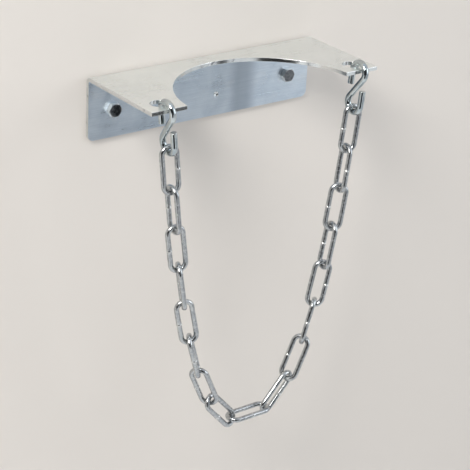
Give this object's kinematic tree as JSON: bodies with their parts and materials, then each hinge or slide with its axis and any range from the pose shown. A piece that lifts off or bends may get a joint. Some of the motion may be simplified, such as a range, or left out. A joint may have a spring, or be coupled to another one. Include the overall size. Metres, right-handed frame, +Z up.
{
  "type": "gas cylinder wall bracket",
  "caption": "Wall bracket for a gas cylinder: bent steel plate with a half-round cut-out, two S-hooks and a hanging retaining chain.",
  "frame": {"origin": "on the flange's back face, midway between the two wall screws", "axes": "+Y into the wall, +Z up, +X to the right when facing the wall"},
  "size_m": [0.205, 0.1384, 0.285],
  "materials": {
    "plate": "zinc plated, satin",
    "screws": "zinc plated, bright",
    "plugs": "moulded nylon",
    "hooks": "bright zinc, glossy",
    "chain": "galvanised, semi-gloss"
  },
  "bodies": {
    "bracket": {"bracket_plate": "plate", "left_screw": "screws", "right_screw": "screws", "left_wall_plug": "plugs", "right_wall_plug": "plugs"},
    "left_hook": {"left_s_hook": "hooks"},
    "right_hook": {"right_s_hook": "hooks"},
    "link_01": {"link_01": "chain"},
    "link_02": {"link_02": "chain"},
    "link_03": {"link_03": "chain"},
    "link_04": {"link_04": "chain"},
    "link_05": {"link_05": "chain"},
    "link_06": {"link_06": "chain"},
    "link_07": {"link_07": "chain"},
    "link_08": {"link_08": "chain"},
    "link_09": {"link_09": "chain"},
    "link_10": {"link_10": "chain"},
    "link_11": {"link_11": "chain"},
    "link_12": {"link_12": "chain"},
    "link_13": {"link_13": "chain"},
    "link_14": {"link_14": "chain"},
    "link_15": {"link_15": "chain"},
    "link_16": {"link_16": "chain"},
    "link_17": {"link_17": "chain"}
  },
  "joints": [
    {"name": "left_hook_swing", "type": "hinge", "parent": "bracket", "child": "left_hook", "pos_m": [-0.08743, -0.08175, 0.02485], "axis": [-1, 0, 0], "range_deg": [-6, 60]},
    {"name": "link_01_swing", "type": "hinge", "parent": "left_hook", "child": "link_01", "pos_m": [-0.08477, -0.08175, -0.00357], "axis": [-1, 0, 0], "range_deg": [-2, 8]},
    {"name": "link_02_swing", "type": "hinge", "parent": "link_01", "child": "link_02", "pos_m": [-0.08122, -0.08175, -0.03547], "axis": [-1, 0, 0], "range_deg": [-2, 8]},
    {"name": "link_03_swing", "type": "hinge", "parent": "link_02", "child": "link_03", "pos_m": [-0.07718, -0.08175, -0.06731], "axis": [-1, 0, 0], "range_deg": [-2, 8]},
    {"name": "link_04_swing", "type": "hinge", "parent": "link_03", "child": "link_04", "pos_m": [-0.07247, -0.08175, -0.09906], "axis": [-1, 0, 0], "range_deg": [-2, 8]},
    {"name": "link_05_swing", "type": "hinge", "parent": "link_04", "child": "link_05", "pos_m": [-0.06685, -0.08175, -0.13066], "axis": [-1, 0, 0], "range_deg": [-2, 8]},
    {"name": "link_06_swing", "type": "hinge", "parent": "link_05", "child": "link_06", "pos_m": [-0.05989, -0.08175, -0.16197], "axis": [-1, 0, 0], "range_deg": [-2, 8]},
    {"name": "link_07_swing", "type": "hinge", "parent": "link_06", "child": "link_07", "pos_m": [-0.05079, -0.08175, -0.19268], "axis": [-1, 0, 0], "range_deg": [-2, 8]},
    {"name": "link_08_swing", "type": "hinge", "parent": "link_07", "child": "link_08", "pos_m": [-0.0379, -0.08175, -0.22168], "axis": [-1, 0, 0], "range_deg": [-2, 8]},
    {"name": "link_09_swing", "type": "hinge", "parent": "link_08", "child": "link_09", "pos_m": [-0.0182, -0.08175, -0.24383], "axis": [-1, 0, 0], "range_deg": [-4, 12]},
    {"name": "right_hook_swing", "type": "hinge", "parent": "bracket", "child": "right_hook", "pos_m": [0.08743, -0.08175, 0.02485], "axis": [-1, 0, 0], "range_deg": [-6, 60]},
    {"name": "link_17_swing", "type": "hinge", "parent": "right_hook", "child": "link_17", "pos_m": [0.08477, -0.08175, -0.00357], "axis": [-1, 0, 0], "range_deg": [-2, 8]},
    {"name": "link_16_swing", "type": "hinge", "parent": "link_17", "child": "link_16", "pos_m": [0.08122, -0.08175, -0.03547], "axis": [-1, 0, 0], "range_deg": [-2, 8]},
    {"name": "link_15_swing", "type": "hinge", "parent": "link_16", "child": "link_15", "pos_m": [0.07718, -0.08175, -0.06731], "axis": [-1, 0, 0], "range_deg": [-2, 8]},
    {"name": "link_14_swing", "type": "hinge", "parent": "link_15", "child": "link_14", "pos_m": [0.07247, -0.08175, -0.09906], "axis": [-1, 0, 0], "range_deg": [-2, 8]},
    {"name": "link_13_swing", "type": "hinge", "parent": "link_14", "child": "link_13", "pos_m": [0.06685, -0.08175, -0.13066], "axis": [-1, 0, 0], "range_deg": [-2, 8]},
    {"name": "link_12_swing", "type": "hinge", "parent": "link_13", "child": "link_12", "pos_m": [0.05989, -0.08175, -0.16197], "axis": [-1, 0, 0], "range_deg": [-2, 8]},
    {"name": "link_11_swing", "type": "hinge", "parent": "link_12", "child": "link_11", "pos_m": [0.05079, -0.08175, -0.19268], "axis": [-1, 0, 0], "range_deg": [-2, 8]},
    {"name": "link_10_swing", "type": "hinge", "parent": "link_11", "child": "link_10", "pos_m": [0.0379, -0.08175, -0.22168], "axis": [-1, 0, 0], "range_deg": [-2, 8]}
  ],
  "couplings": [
    {"joint": "right_hook_swing", "follows": "left_hook_swing", "ratio": 1},
    {"joint": "link_17_swing", "follows": "link_01_swing", "ratio": 1},
    {"joint": "link_16_swing", "follows": "link_02_swing", "ratio": 1},
    {"joint": "link_15_swing", "follows": "link_03_swing", "ratio": 1},
    {"joint": "link_14_swing", "follows": "link_04_swing", "ratio": 1},
    {"joint": "link_13_swing", "follows": "link_05_swing", "ratio": 1},
    {"joint": "link_12_swing", "follows": "link_06_swing", "ratio": 1},
    {"joint": "link_11_swing", "follows": "link_07_swing", "ratio": 1},
    {"joint": "link_10_swing", "follows": "link_08_swing", "ratio": 1}
  ]
}
